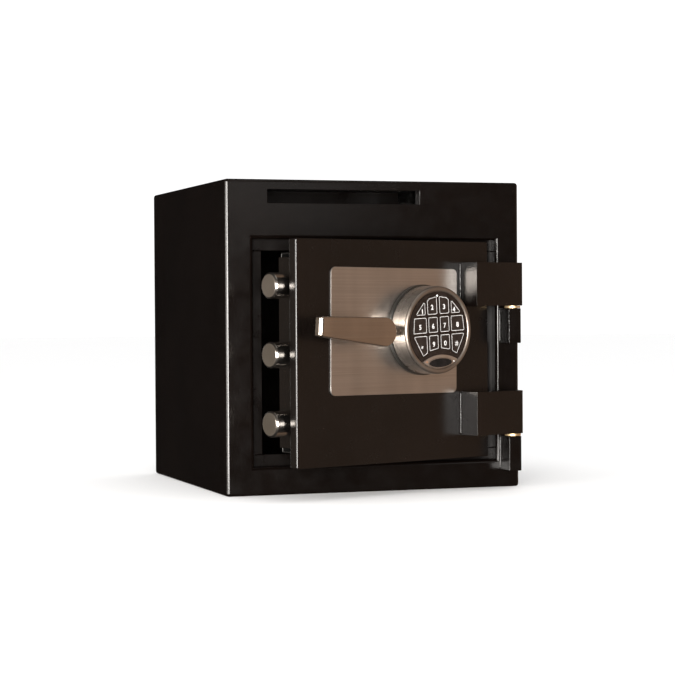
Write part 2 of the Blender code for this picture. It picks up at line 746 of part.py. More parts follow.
def keypad_body(chrome, dark, door):
    centre = (PAD_X, 0.0, PAD_Z)
    base_front = PAD_BACK - PAD_BASE_THICK
    base = [
        (0.0, PAD_BACK), (PAD_BASE_R, PAD_BACK), (PAD_BASE_R, base_front + 0.8),
        (PAD_BASE_R - 0.8, base_front), (0.0, base_front),
    ]
    finish("keypad_base", turned_builder(base, centre, "Y", 96), dark, door)
    drum_back = base_front - PAD_GROOVE
    front = FRONT - PAD_FRONT
    inner = WINDOW_R
    drum = [
        (0.0, drum_back), (PAD_R, drum_back), (PAD_R, front + 3.0), (PAD_R - 0.5, front + 1.4),
        (PAD_R - 1.6, front + 0.4), (PAD_R - 3.0, front), (inner + 1.2, front + 0.4),
        (inner, front + 1.4), (inner, PAD_FLOOR), (0.0, PAD_FLOOR),
    ]
    finish("keypad_housing", turned_builder(drum, centre, "Y", 96), chrome, door)


def key_outlines():
    """Each key's corners across and up from the keypad's middle: three rows of four."""
    rows = {
        "1": [(-34.5, 17.6), (-19.0, 17.6), (-19.0, 31.5), (-21.5, 31.5)],
        "2": [(-16.2, 17.6), (-1.6, 17.6), (-1.6, 38.0), (-13.0, 36.0), (-16.2, 33.5)],
        "5": [(-38.0, -2.6), (-18.0, -2.6), (-18.0, 15.0), (-36.2, 15.0)],
        "6": [(-15.4, -2.6), (-1.6, -2.6), (-1.6, 15.0), (-15.4, 15.0)],
        "star": [(-25.0, -28.5), (-18.0, -24.5), (-18.0, -5.2), (-38.2, -5.2)],
        "9": [(-15.4, -23.0), (-1.6, -20.6), (-1.6, -5.2), (-15.4, -5.2)],
    }
    twins = {"1": "4", "2": "3", "5": "8", "6": "7", "star": "hash", "9": "0"}
    result = {}
    for name, points in rows.items():
        result[name] = [(u * WINDOW_SCALE, v * WINDOW_SCALE) for u, v in points]
        result[twins[name]] = [(-u, v) for u, v in reversed(result[name])]
    return result


def badge_outline():
    return [
        (
            WINDOW_SCALE * BADGE_HALF_WIDTH * math.cos(math.tau * i / 40),
            WINDOW_SCALE * (BADGE_V + BADGE_HALF_HEIGHT * math.sin(math.tau * i / 40)),
        )
        for i in range(40)
    ]


def grown(points, by):
    """Move each side of a convex outline outwards."""
    area = sum(
        a[0] * b[1] - b[0] * a[1] for a, b in zip(points, points[1:] + points[:1])
    )
    side = 1.0 if area > 0 else -1.0
    result = []
    count = len(points)
    for i in range(count):
        a, b, c = Vector(points[i - 1]), Vector(points[i]), Vector(points[(i + 1) % count])
        n0 = Vector(((b - a).y, -(b - a).x)).normalized() * side
        n1 = Vector(((c - b).y, -(c - b).x)).normalized() * side
        way = (n0 + n1).normalized()
        reach = by / max(way.dot(n0), 0.3)
        result.append((b.x + way.x * reach, b.y + way.y * reach))
    return result


def crescent_arch():
    """Middle height and radius of the circle whose top is the arch over the badge."""
    rise = WINDOW_SCALE * (BADGE_V + BADGE_HALF_HEIGHT + CRESCENT_RIM)
    half = WINDOW_SCALE * CRESCENT_HALF
    top = rise + math.sqrt(WINDOW_R ** 2 - half ** 2)
    radius = (half ** 2 + top ** 2) / (2 * top)
    return rise - radius, radius


def crescent_outline(gap):
    """The metal piece under the arch, clear of the housing's rim by a gap."""
    inner = WINDOW_R - gap
    middle, radius = crescent_arch()
    end_v = (middle ** 2 - radius ** 2 + inner ** 2) / (2 * middle)
    end_u = math.sqrt(inner ** 2 - end_v ** 2)
    rim = math.degrees(math.atan2(-end_v, end_u))
    lower = arc(0.0, 0.0, inner, -180.0 + rim, -rim, 20)
    sweep = math.degrees(math.atan2(end_u, end_v - middle))
    upper = arc(0.0, middle, radius, 90.0 - sweep, 90.0 + sweep, 20)
    return lower[:-1] + upper[:-1]


def keypad_face(lens_look, metal, black, light_look, door):
    lens_back = PAD_FLOOR - JOINT_GAP
    lens_front = lens_back - LENS_THICK
    lens = finish(
        "keypad_lens",
        rod_builder(
            (PAD_X, 0.0, PAD_Z), WINDOW_R - JOINT_GAP, lens_front, lens_back, "Y", 96
        ),
        lens_look,
        door,
    )
    arch_v, arch_r = crescent_arch()
    arch = on_pad([(0.0, arch_v)])[0]
    ends = (lens_front - 2.0, lens_back + 2.0)
    cut(lens, rod_builder((arch[0], 0.0, arch[1]), arch_r + JOINT_GAP, *ends, "Y", 160))
    for points in key_outlines().values():
        corner = WINDOW_SCALE * KEY_ROUND + KEY_GAP
        hole = on_pad(rounded_outline(grown(points, KEY_GAP), corner, 3))
        cut(lens, prism_builder(hole, lens_front - 2.0, lens_back + 2.0))
    light = on_pad([(0.0, WINDOW_SCALE * LIGHT_V)])[0]
    cut(
        lens,
        rod_builder((light[0], 0.0, light[1]), LIGHT_R + 0.25, lens_front - 2, lens_back + 2, "Y", 16),
    )
    finish(
        "keypad_light",
        rod_builder((light[0], 0.0, light[1]), LIGHT_R, lens_front - 0.2, lens_back, "Y", 16),
        light_look,
        door,
    )
    plate = on_pad(crescent_outline(0.4))
    plate_front = lens_front - 0.6
    crescent = finish(
        "keypad_crescent", prism_builder(plate, plate_front, lens_back, "Y", 0.4, 2), metal, door
    )
    oval = badge_outline()
    pocket = on_pad(grown(oval, 0.3))
    cut(crescent, prism_builder(pocket, plate_front - 2.0, plate_front + 1.3))
    finish(
        "keypad_badge",
        prism_builder(on_pad(oval), plate_front - 0.2, plate_front + 1.0, "Y", 0.3, 2),
        black,
        door,
    )


def keys(look, door):
    front = PAD_FLOOR - JOINT_GAP - LENS_THICK - KEY_PROUD
    for name, points in key_outlines().items():
        outline = on_pad(rounded_outline(points, WINDOW_SCALE * KEY_ROUND, 3))
        middle = [sum(p[i] for p in outline) / len(outline) for i in (0, 1)]
        holder = pivot("key_seat_" + name, (middle[0], front, middle[1]), door)
        finish("key_" + name, prism_builder(outline, front, front + KEY_THICK, "Y", 0.3, 1), look, holder)


def lock(case_look, steel, door, latch):
    hard_front = DOOR_BACK + JOINT_GAP
    low = (PAD_X - HARD_PLATE_HALF, hard_front, PAD_Z - HARD_PLATE_HALF)
    high = (PAD_X + HARD_PLATE_HALF, hard_front + HARD_PLATE_THICK, PAD_Z + HARD_PLATE_HALF)
    plate = finish("hard_plate", box_builder(low, high, 0.5, 1), steel, door)
    ends = (hard_front - 5.0, hard_front + HARD_PLATE_THICK + 5.0)
    cut(plate, rod_builder((PAD_X, 0.0, PAD_Z), CABLE_HOLE_R, *ends, "Y", 24))
    low = (PAD_X - LOCK_WIDTH / 2, LOCK_FRONT, LOCK_BOTTOM)
    high = (PAD_X + LOCK_WIDTH / 2, LOCK_FRONT + LOCK_DEPTH, LOCK_BOTTOM + LOCK_HEIGHT)
    case = finish("lock_case", box_builder(low, high, 2.0, 2), case_look, door)
    half = LOCK_BOLT_WIDTH / 2
    bolt_high = LOCK_BOTTOM + 22.0
    cut(
        case,
        box_builder(
            (PAD_X - half - 0.3, LOCK_BOLT_Y - LOCK_BOLT_THICK / 2 - 0.3, LOCK_BOTTOM - 5.0),
            (
                PAD_X + half + 0.3,
                LOCK_BOLT_Y + LOCK_BOLT_THICK / 2 + 0.3,
                bolt_high + LOCK_BOLT_TRAVEL + 1.0,
            ),
        ),
    )
    back = LOCK_FRONT + LOCK_DEPTH + JOINT_GAP
    finish(
        "lock_cover",
        box_builder(
            (low[0] + 1.0, back, low[2] + 1.0), (high[0] - 1.0, back + LOCK_COVER_THICK, high[2] - 1.0),
            0.5, 1,
        ),
        steel,
        door,
    )
    nose = [
        (PAD_X - half, ramp_height(PAD_X - half) + 0.3), (PAD_X + half, ramp_height(PAD_X + half) + 0.3),
        (PAD_X + half, bolt_high), (PAD_X - half, bolt_high),
    ]
    finish(
        "lock_bolt",
        prism_builder(
            nose, LOCK_BOLT_Y - LOCK_BOLT_THICK / 2, LOCK_BOLT_Y + LOCK_BOLT_THICK / 2
        ),
        steel,
        latch,
    )


def dead_bar(look, door):
    """A stepped bar on the door's back that stands behind the hinge-side stop when shut."""
    lip = BAR_INNER + DEAD_BAR_LAP
    back = DOOR_BACK + JOINT_GAP
    step = STOP_BACK + DEAD_BAR_GAP
    section = [
        (BAR_FOOT_LEFT, back), (BAR_FOOT_RIGHT, back), (BAR_FOOT_RIGHT, step), (lip, step),
        (lip, step + DEAD_BAR_THICK), (BAR_FOOT_LEFT, step + DEAD_BAR_THICK),
    ]
    finish(
        "dead_bar",
        prism_builder(
            section, DOOR_BOTTOM + DEAD_BAR_MARGIN_Z, DOOR_TOP - DEAD_BAR_MARGIN_Z, "Z"
        ),
        look,
        door,
    )


def work_cover(look, door):
    """A folded sheet over the boltwork, fixed by its top and bottom flanges."""
    z0 = DOOR_BOTTOM + COVER_MARGIN_Z
    z1 = DOOR_TOP - COVER_MARGIN_Z
    left = GUIDE_X + COVER_FROM_GUIDE
    right = BAR_FOOT_LEFT - COVER_TO_BAR
    y0 = DOOR_BACK + JOINT_GAP
    y1 = DOOR_BACK + COVER_BACK
    t = COVER_THICK
    section = [
        (y0, z0), (y1, z0), (y1, z1), (y0, z1), (y0, z1 - t), (y1 - t, z1 - t),
        (y1 - t, z0 + t), (y0, z0 + t),
    ]
    builder = bmesh.new()
    face = builder.faces.new([builder.verts.new((left, y, z)) for y, z in section])
    made = bmesh.ops.extrude_face_region(builder, geom=[face])
    moved = [g for g in made["geom"] if isinstance(g, bmesh.types.BMVert)]
    bmesh.ops.translate(builder, vec=(right - left, 0.0, 0.0), verts=moved)
    finish("work_cover", builder, look, door)


def build():
    clear_scene()
    paint = material("black_paint", (0.018, 0.016, 0.015), 0.45, 0.0)
    satin_black = material("satin_black", (0.03, 0.028, 0.027), 0.35, 0.0)
    sheet = material("dark_sheet", (0.05, 0.05, 0.05), 0.5, 0.4)
    chrome = material("chrome", (0.78, 0.76, 0.74), 0.12, 1.0)
    brushed = material("brushed_stainless", (0.62, 0.57, 0.52), 0.32, 1.0)
    steel = material("steel", (0.45, 0.45, 0.46), 0.35, 1.0)
    brass = material("washer_bronze", (0.75, 0.6, 0.38), 0.3, 1.0)
    black = material("gloss_black", (0.01, 0.01, 0.01), 0.12, 0.0)
    key_face = material("key_black", (0.03, 0.03, 0.03), 0.3, 0.0)
    glow = material("light_white", (0.9, 0.9, 0.9), 0.3, 0.0)

    cabinet_wrap(paint)
    cabinet_back(paint)
    front_frame(paint)
    stop_frame(paint)
    slot_baffles(sheet)
    knuckles(paint, steel, brass)

    shut = (AXIS_X, AXIS_Y, STRAP_LOW_Z)
    door = pivot("door_pivot", shut, None, math.radians(DOOR_OPEN_DEG))
    hinge_straps(satin_black, door)
    door_plate(satin_black, door)
    trim_plate(brushed, door)
    bolt_guide(paint, door)
    dead_bar(paint, door)
    work_cover(sheet, door)
    keypad_body(chrome, steel, door)
    keypad_face(black, chrome, black, glow, door)
    keys(key_face, door)

    slide = pivot("bolt_slide", (BOLT_TIP, BOLT_Y, BOLT_MIDDLE_Z), door)
    locking_bolts(chrome, slide)
    bolt_carrier(steel, slide)
    handle = pivot("handle_pivot", (SPINDLE_X, FRONT, SPINDLE_Z), door)
    lever(chrome, handle)
    handle_drive(chrome, steel, handle)
    latch = pivot("latch_slide", (PAD_X, LOCK_BOLT_Y, LOCK_BOTTOM), door)
    lock(sheet, steel, door, latch)


build()
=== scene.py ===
import json
from math import cos, pi, radians, sin

import bmesh
import bpy
from mathutils import Matrix, Vector

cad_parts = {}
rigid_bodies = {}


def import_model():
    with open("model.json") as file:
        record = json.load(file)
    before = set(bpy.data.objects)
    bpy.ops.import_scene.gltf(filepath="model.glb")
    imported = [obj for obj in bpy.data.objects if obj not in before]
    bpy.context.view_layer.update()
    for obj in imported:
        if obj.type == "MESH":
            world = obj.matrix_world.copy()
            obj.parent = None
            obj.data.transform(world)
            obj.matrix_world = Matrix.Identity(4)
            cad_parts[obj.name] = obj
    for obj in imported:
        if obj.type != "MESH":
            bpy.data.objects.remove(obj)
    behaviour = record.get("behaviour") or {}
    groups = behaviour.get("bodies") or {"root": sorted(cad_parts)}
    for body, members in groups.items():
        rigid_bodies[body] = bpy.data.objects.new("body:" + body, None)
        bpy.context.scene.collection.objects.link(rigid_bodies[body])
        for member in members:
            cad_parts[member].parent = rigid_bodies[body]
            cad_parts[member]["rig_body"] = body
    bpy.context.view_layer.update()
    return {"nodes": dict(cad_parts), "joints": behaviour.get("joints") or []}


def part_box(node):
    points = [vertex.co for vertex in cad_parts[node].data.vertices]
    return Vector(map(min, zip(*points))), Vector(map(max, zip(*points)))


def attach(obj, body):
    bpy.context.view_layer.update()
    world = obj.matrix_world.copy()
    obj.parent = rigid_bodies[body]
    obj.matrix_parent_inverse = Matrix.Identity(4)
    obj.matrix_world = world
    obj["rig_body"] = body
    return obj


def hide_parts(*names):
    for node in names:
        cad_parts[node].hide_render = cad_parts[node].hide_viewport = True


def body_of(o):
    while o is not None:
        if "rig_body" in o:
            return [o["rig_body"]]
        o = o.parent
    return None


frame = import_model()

mm = 0.001
gap = 0.3 * mm  # between pieces that meet
cutPast = 10 * mm  # how far a cutter runs past what it cuts

# the door stands ajar: its pieces are worked on as if it were shut, then turned about the pins
hinge = next(j for j in frame["joints"] if j["name"] == "door_hinge")
ajar = radians(-hinge["range_deg"][0])
pin = Vector(hinge["pos_m"])
openTurn = Matrix.Translation(pin) @ Matrix.Rotation(ajar, 4, "Z") @ Matrix.Translation(-pin)
shutTurn = openTurn.inverted()


def shutBox(node):
    # lowest and highest corner of a door node as it would be with the door shut
    points = [shutTurn @ v.co for v in frame["nodes"][node].data.vertices]
    low = Vector([min(p[i] for p in points) for i in range(3)])
    high = Vector([max(p[i] for p in points) for i in range(3)])
    return low, high


def deselectAll():
    if bpy.context.mode != "OBJECT":
        bpy.ops.object.mode_set(mode="OBJECT")
    bpy.ops.object.select_all(action="DESELECT")


def pick(piece):
    deselectAll()
    piece.select_set(True)
    bpy.context.view_layer.objects.active = piece


def named(name):
    # the primitive that was just added, with its place in its mesh
    piece = bpy.context.object
    piece.name = name
    piece.data.name = name
    bpy.ops.object.transform_apply(location=True, rotation=True, scale=True)
    return piece


def addBox(name, low, high):
    deselectAll()
    low, high = Vector(low), Vector(high)
    bpy.ops.mesh.primitive_cube_add(size=1, location=(low + high) / 2, scale=high - low)
    return named(name)


def selectFaces(piece, test):
    # edit mode, with the faces picked whose middle and normal pass the test
    pick(piece)
    bpy.ops.object.mode_set(mode="EDIT")
    bpy.ops.mesh.select_mode(type="FACE")
    bpy.ops.mesh.select_all(action="DESELECT")
    mesh = bmesh.from_edit_mesh(piece.data)
    for face in mesh.faces:
        face.select_set(test(face.calc_center_median(), face.normal))
    bmesh.update_edit_mesh(piece.data)


def selectEdges(piece, test):
    # edit mode, with the edges picked whose two ends pass the test
    pick(piece)
    bpy.ops.object.mode_set(mode="EDIT")
    bpy.ops.mesh.select_mode(type="EDGE")
    bpy.ops.mesh.select_all(action="DESELECT")
    mesh = bmesh.from_edit_mesh(piece.data)
    for edge in mesh.edges:
        edge.select_set(test(edge.verts[0].co, edge.verts[1].co))
    bmesh.update_edit_mesh(piece.data)


def selectVerts(piece, test):
    pick(piece)
    bpy.ops.object.mode_set(mode="EDIT")
    bpy.ops.mesh.select_mode(type="VERT")
    bpy.ops.mesh.select_all(action="DESELECT")
    mesh = bmesh.from_edit_mesh(piece.data)
    for vert in mesh.verts:
        vert.select_set(test(vert.co))
    bmesh.update_edit_mesh(piece.data)


def roundEdges(width, segments=3):
    bpy.ops.mesh.bevel(
        offset=width, offset_type="OFFSET", segments=segments, affect="EDGES", clamp_overlap=True
    )
    bpy.ops.object.mode_set(mode="OBJECT")


def roundSharp(piece, width, segments=3, angle=40):
    # rounds every edge that is sharper than an angle
    pick(piece)
    bpy.ops.object.mode_set(mode="EDIT")
    bpy.ops.mesh.select_mode(type="EDGE")
    bpy.ops.mesh.select_all(action="DESELECT")
    bpy.ops.mesh.edges_select_sharp(sharpness=radians(angle))
    roundEdges(width, segments)


def mergedOutward(piece):
    pick(piece)
    bpy.ops.object.mode_set(mode="EDIT")
    bpy.ops.mesh.select_all(action="SELECT")
    bpy.ops.mesh.remove_doubles(threshold=1e-6)
    bpy.ops.mesh.normals_make_consistent(inside=False)
    bpy.ops.object.mode_set(mode="OBJECT")
    return piece


def cutAway(piece, cutter):
    # takes the cutter's solid out of the piece and throws the cutter away
    pick(piece)
    made = piece.modifiers.new("cut", "BOOLEAN")
    made.operation = "DIFFERENCE"
    made.solver = "EXACT"
    made.object = cutter
    bpy.ops.object.modifier_apply(modifier=made.name)
    bpy.data.objects.remove(cutter, do_unlink=True)


def addRod(name, radius, start, end, vertices=48):
    # a round cutter between two points
    deselectAll()
    start, end = Vector(start), Vector(end)
    way = end - start
    turn = way.to_track_quat("Z", "Y").to_euler()
    bpy.ops.mesh.primitive_cylinder_add(
        vertices=vertices, radius=radius, depth=way.length, location=(start + end) / 2, rotation=turn
    )
    return named(name)


def turnOnLathe(name, profile, centre, axis="Y", steps=96):
    # (radius, along) pairs drawn point by point, then spun about an axis through the centre
    out = Vector((0, 0, 1)) if axis == "X" else Vector((1, 0, 0))
    way = {"X": Vector((1, 0, 0)), "Y": Vector((0, 1, 0)), "Z": Vector((0, 0, 1))}[axis]
    centre = Vector(centre)
    deselectAll()
    first = centre + out * profile[0][0] + way * profile[0][1]
    bpy.ops.mesh.primitive_plane_add(size=mm, location=first)
    piece = named(name)
    bpy.ops.object.mode_set(mode="EDIT")
    bpy.ops.mesh.select_mode(type="VERT")
    bpy.ops.mesh.select_all(action="SELECT")
    bpy.ops.mesh.merge(type="CENTER")
    for (r0, a0), (r1, a1) in zip(profile, profile[1:]):
        step = out * (r1 - r0) + way * (a1 - a0)
        bpy.ops.mesh.extrude_region_move(TRANSFORM_OT_translate={"value": step})
    bpy.ops.mesh.select_all(action="SELECT")
    bpy.ops.mesh.spin(steps=steps, angle=2 * pi, center=centre, axis=way)
    return mergedOutward(piece)


def copyOfNode(node, name):
    # a merged copy of a CAD node, in its place with the door shut
    source = frame["nodes"][node]
    pick(source)
    bpy.ops.object.duplicate()
    piece = bpy.context.object
    bpy.ops.object.parent_clear(type="CLEAR_KEEP_TRANSFORM")
    for key in list(piece.keys()):
        del piece[key]
    piece.name = name
    piece.data.name = name
    piece.data.materials.clear()
    if body_of(source) != ["cabinet"]:
        piece.data.transform(shutTurn)
    pick(piece)
    bpy.ops.object.mode_set(mode="EDIT")
    bpy.ops.mesh.select_all(action="SELECT")
    bpy.ops.mesh.customdata_custom_splitnormals_clear()
    bpy.ops.mesh.remove_doubles(threshold=2e-6)
    bpy.ops.mesh.normals_make_consistent(inside=False)
    bpy.ops.mesh.dissolve_limited(angle_limit=radians(0.5))
    bpy.ops.object.mode_set(mode="OBJECT")
    return piece


def applyModifier(piece, kind, **settings):
    pick(piece)
    made = piece.modifiers.new(kind.lower(), kind)
    for name, value in settings.items():
        setattr(made, name, value)
    bpy.ops.object.modifier_apply(modifier=made.name)


def settle(piece, body, look, slotName, *nodes, smooth=32, weighted=True):
    # shades a finished piece, opens it with the door, and hangs it on its body
    pick(piece)
    bpy.ops.object.shade_smooth_by_angle(angle=radians(smooth))
    if weighted:
        applyModifier(piece, "WEIGHTED_NORMAL", keep_sharp=True, weight=80)
    if body != "cabinet":
        piece.data.transform(openTurn)
    if look is not None:
        piece.data.materials.clear()
        piece.data.materials.append(look)
    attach(piece, body)
    if nodes:
        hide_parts(*nodes)
    return piece


# finishes

def startLook(name, colour, roughness, metallic=0.0, specular=0.5):
    look = bpy.data.materials.new(name)
    look.use_nodes = True
    shader = look.node_tree.nodes["Principled BSDF"]
    shader.inputs["Base Color"].default_value = (*colour, 1)
    shader.inputs["Roughness"].default_value = roughness
    shader.inputs["Metallic"].default_value = metallic
    shader.inputs["Specular IOR Level"].default_value = specular
    look.diffuse_color = (*colour, 1)
    return look, look.node_tree, shader


def noiseOn(tree, scale, detail=2.0, stretch=(1, 1, 1), place=None, rough=0.5):
    # noise read from where the point is on the object, drawn out along an axis by stretch
    nodes, links = tree.nodes, tree.links
    mapping = nodes.new("ShaderNodeMapping")
    mapping.inputs["Scale"].default_value = stretch
    if place is None:
        coords = nodes.new("ShaderNodeTexCoord")
        links.new(coords.outputs["Object"], mapping.inputs["Vector"])
    else:
        links.new(place, mapping.inputs["Vector"])
    noise = nodes.new("ShaderNodeTexNoise")
    noise.inputs["Scale"].default_value = scale
    noise.inputs["Detail"].default_value = detail
    noise.inputs["Roughness"].default_value = rough
    links.new(mapping.outputs["Vector"], noise.inputs["Vector"])
    return noise.outputs["Fac"]


def ramp(tree, source, low, high, start=0.35, end=0.65):
    # turns a pattern into a run between two colours, or two grey levels
    made = tree.nodes.new("ShaderNodeValToRGB")
    for element, position, value in zip(made.color_ramp.elements, (start, end), (low, high)):
        element.position = position
        element.color = (*value, 1) if hasattr(value, "__len__") else (value, value, value, 1)
    tree.links.new(source, made.inputs["Fac"])
    return made.outputs["Color"]


def bump(tree, shader, source, strength, height, below=None):
    made = tree.nodes.new("ShaderNodeBump")
    made.inputs["Strength"].default_value = strength
    made.inputs["Distance"].default_value = height
    tree.links.new(source, made.inputs["Height"])
    if below is not None:
        tree.links.new(below, made.inputs["Normal"])
    tree.links.new(made.outputs["Normal"], shader.inputs["Normal"])
    return made.outputs["Normal"]


powderCoat = {
    "dark": (0.0012, 0.0007, 0.0005),
    "light": (0.0020, 0.0012, 0.0009),
    "grain": 460,  # fine bumps, a little over 2 mm apart
    "grainHeight": 0.45 * mm,
    "peel": 150,
    "specular": 0.42,
}


def makePowderCoat(name, grainDepth, gloss=(0.16, 0.23), specular=None):
    facts = powderCoat
    look, tree, shader = startLook(name, facts["dark"], 0.4, 0, specular or facts["specular"])
    cloud = noiseOn(tree, 9, 3)
    tree.links.new(ramp(tree, cloud, facts["dark"], facts["light"]), shader.inputs["Base Color"])
    fine = noiseOn(tree, facts["grain"], 3, rough=0.6)
    peel = noiseOn(tree, facts["peel"], 2)
    tree.links.new(ramp(tree, noiseOn(tree, 60, 3), *gloss, 0.3, 0.7), shader.inputs["Roughness"])
    below = bump(tree, shader, peel, 0.12, 0.2 * mm)
    bump(tree, shader, fine, grainDepth, facts["grainHeight"], below)
    return look


brushed = {
    "dark": (0.43, 0.39, 0.36),
    "light": (0.66, 0.62, 0.58),
    "lines": 800,
    "paintedReflectionBands": 26,  # painted reflections: slow lighter and darker bands from left to right
    "paintedReflectionTone": (0.86, 1.0),
}


def makeBrushed(name, dark, light, gloss=(0.26, 0.40), lineDepth=0.16):
    # level brush lines: the pattern hardly changes along a line and quickly across it
    look, tree, shader = startLook(name, light, 0.3, 1.0)
    across = noiseOn(tree, brushed["lines"], 4, (0.006, 0.006, 1), rough=0.75)
    longer = noiseOn(tree, 900, 2, (0.01, 0.01, 1))
    # painted reflection: broad bands, lighter and darker from left to right, multiply the base colour
    paintedReflectionBands = noiseOn(tree, brushed["paintedReflectionBands"], 2, (1, 1, 0.12))
    tint = tree.nodes.new("ShaderNodeMixRGB")
    tint.blend_type = "MULTIPLY"
    tint.inputs["Fac"].default_value = 1.0
    tree.links.new(ramp(tree, across, dark, light, 0.15, 0.85), tint.inputs["Color1"])
    tree.links.new(ramp(tree, paintedReflectionBands, *brushed["paintedReflectionTone"]), tint.inputs["Color2"])
    tree.links.new(tint.outputs["Color"], shader.inputs["Base Color"])
    tree.links.new(ramp(tree, longer, *gloss, 0.3, 0.7), shader.inputs["Roughness"])
    bump(tree, shader, across, lineDepth, 0.05 * mm)
    return look


def makeTurnedMetal(name, centre, dark, light, gloss, ringDepth=0.12, rings=900):
    # fine lines left by turning, round an axis along the door's depth
    look, tree, shader = startLook(name, light, gloss[0], 1.0)
    nodes, links = tree.nodes, tree.links
    coords = nodes.new("ShaderNodeTexCoord")
    mapping = nodes.new("ShaderNodeMapping")
    turn = Matrix.Rotation(-ajar, 3, "Z")
    mapping.inputs["Rotation"].default_value = (0, 0, -ajar)
    mapping.inputs["Location"].default_value = -(turn @ (openTurn @ Vector(centre)))
    links.new(coords.outputs["Object"], mapping.inputs["Vector"])
    parts = nodes.new("ShaderNodeSeparateXYZ")
    links.new(mapping.outputs["Vector"], parts.inputs["Vector"])
    flat = nodes.new("ShaderNodeCombineXYZ")
    links.new(parts.outputs["X"], flat.inputs["X"])
    links.new(parts.outputs["Z"], flat.inputs["Z"])
    length = nodes.new("ShaderNodeVectorMath")
    length.operation = "LENGTH"
    links.new(flat.outputs["Vector"], length.inputs[0])
    section = nodes.new("ShaderNodeCombineXYZ")
    links.new(length.outputs["Value"], section.inputs["X"])
    links.new(parts.outputs["Y"], section.inputs["Y"])
    lines = noiseOn(tree, rings, 2, (1, 1, 1), section.outputs["Vector"], 0.6)
    smear = noiseOn(tree, 30, 3)
    links.new(ramp(tree, lines, dark, light, 0.3, 0.7), shader.inputs["Base Color"])
    links.new(ramp(tree, smear, *gloss, 0.35, 0.7), shader.inputs["Roughness"])
    bump(tree, shader, lines, ringDepth, 0.04 * mm)
    return look


def makePlainMetal(name, dark, light, gloss, grain=220, depth=0.08):
    look, tree, shader = startLook(name, light, gloss[0], 1.0)
    tree.links.new(ramp(tree, noiseOn(tree, 18, 3), dark, light), shader.inputs["Base Color"])
    tree.links.new(ramp(tree, noiseOn(tree, 45, 4), *gloss, 0.3, 0.7), shader.inputs["Roughness"])
    bump(tree, shader, noiseOn(tree, grain, 3), depth, 0.05 * mm)
    return look


def makePlastic(name, dark, light, gloss, specular=0.5, depth=0.05):
    look, tree, shader = startLook(name, light, gloss[0], 0, specular)
    tree.links.new(ramp(tree, noiseOn(tree, 120, 3), dark, light), shader.inputs["Base Color"])
    tree.links.new(ramp(tree, noiseOn(tree, 70, 4), *gloss, 0.3, 0.7), shader.inputs["Roughness"])
    bump(tree, shader, noiseOn(tree, 900, 2), depth, 0.03 * mm)
    return look


padLow, padHigh = shutBox("keypad_housing")
padCentre = (padLow + padHigh) / 2
leverLow, leverHigh = shutBox("handle_lever")
spindleLow, spindleHigh = shutBox("handle_spindle")
spindle = (spindleLow + spindleHigh) / 2

looks = {
    "body": makePowderCoat("powder_coat_body", 0.17),
    "door": makePowderCoat("powder_coat_door", 0.08, (0.22, 0.28)),
    "hinge": makePowderCoat("powder_coat_hinge", 0.95, (0.14, 0.22)),
    "inner": makePowderCoat("powder_coat_inner", 0.3, (0.26, 0.36), 0.2),
    "trim": makeBrushed("brushed_trim", brushed["dark"], brushed["light"], (0.29, 0.34), 0.03),
    # painted shade: a darker, rougher metal for the trim's edge faces, to dull their highlight
    "shadedTrimEdge": makePlainMetal("trim_edge_painted_shade", (0.14, 0.13, 0.12), (0.2, 0.19, 0.18), (0.45, 0.6)),
    "lever": makeBrushed("satin_lever", (0.44, 0.38, 0.33), (0.58, 0.52, 0.46), (0.16, 0.26), 0.04),
    "drum": makeTurnedMetal("turned_drum", padCentre, (0.46, 0.42, 0.38), (0.60, 0.56, 0.52), (0.24, 0.34)),
    "rim": makeTurnedMetal("satin_rim", padCentre, (0.27, 0.23, 0.195), (0.36, 0.31, 0.27), (0.36, 0.46)),
    "crest": makeTurnedMetal("satin_crest", padCentre, (0.52, 0.47, 0.42), (0.66, 0.60, 0.55), (0.34, 0.44)),
    "base": makeTurnedMetal("turned_base", padCentre, (0.10, 0.10, 0.095), (0.17, 0.165, 0.155), (0.3, 0.42)),
    "collar": makeTurnedMetal("turned_collar", spindle, (0.50, 0.46, 0.41), (0.66, 0.61, 0.55), (0.14, 0.22)),
    "bolt": makePlainMetal("bolt_chrome", (0.50, 0.47, 0.43), (0.62, 0.58, 0.54), (0.12, 0.22)),
    "steel": makePlainMetal("plain_steel", (0.30, 0.30, 0.30), (0.44, 0.44, 0.44), (0.3, 0.45), 160, 0.2),
    "bronze": makePlainMetal("washer_bronze_metal", (0.72, 0.50, 0.26), (0.88, 0.68, 0.42), (0.42, 0.55)),
    "sheet": makePlainMetal(
        "dark_sheet_metal", (0.035, 0.034, 0.033), (0.06, 0.058, 0.056), (0.4, 0.55), 120, 0.2
    ),
    "lens": makePlastic("lens_gloss", (0.006, 0.004, 0.003), (0.010, 0.007, 0.006), (0.12, 0.2), 0.3),
    "key": makePlastic("key_rubber", (0.009, 0.006, 0.005), (0.014, 0.010, 0.008), (0.25, 0.38), 0.3),
    "print": makePlastic("white_print", (0.40, 0.39, 0.38), (0.52, 0.51, 0.50), (0.4, 0.5)),
    "badge": makePlastic("badge_enamel", (0.003, 0.003, 0.003), (0.006, 0.005, 0.005), (0.2, 0.3), 0.22),
    "lamp": makePlastic("white_lamp", (0.8, 0.8, 0.78), (0.9, 0.9, 0.88), (0.2, 0.3)),
    "amber": makePlastic("amber_lamp", (0.42, 0.13, 0.05), (0.55, 0.2, 0.08), (0.15, 0.25)),
}
print("finishes ready:", len(looks))


# cabinet

cabinet = {
    "round": 3.6 * mm,  # outside edges
    "mouthRound": 4.4 * mm,  # front rim of the doorway
    "slotRound": 0.7 * mm,
    "wall": 6.35 * mm,
    "frontThick": 12.7 * mm,
    "slotHeight": 15.5 * mm,
    "slotPast": 6.0 * mm,  # how far the baffles reach past the slot's ends
}
stopHidden = 14.0 * mm  # how far the stop bars reach behind the front


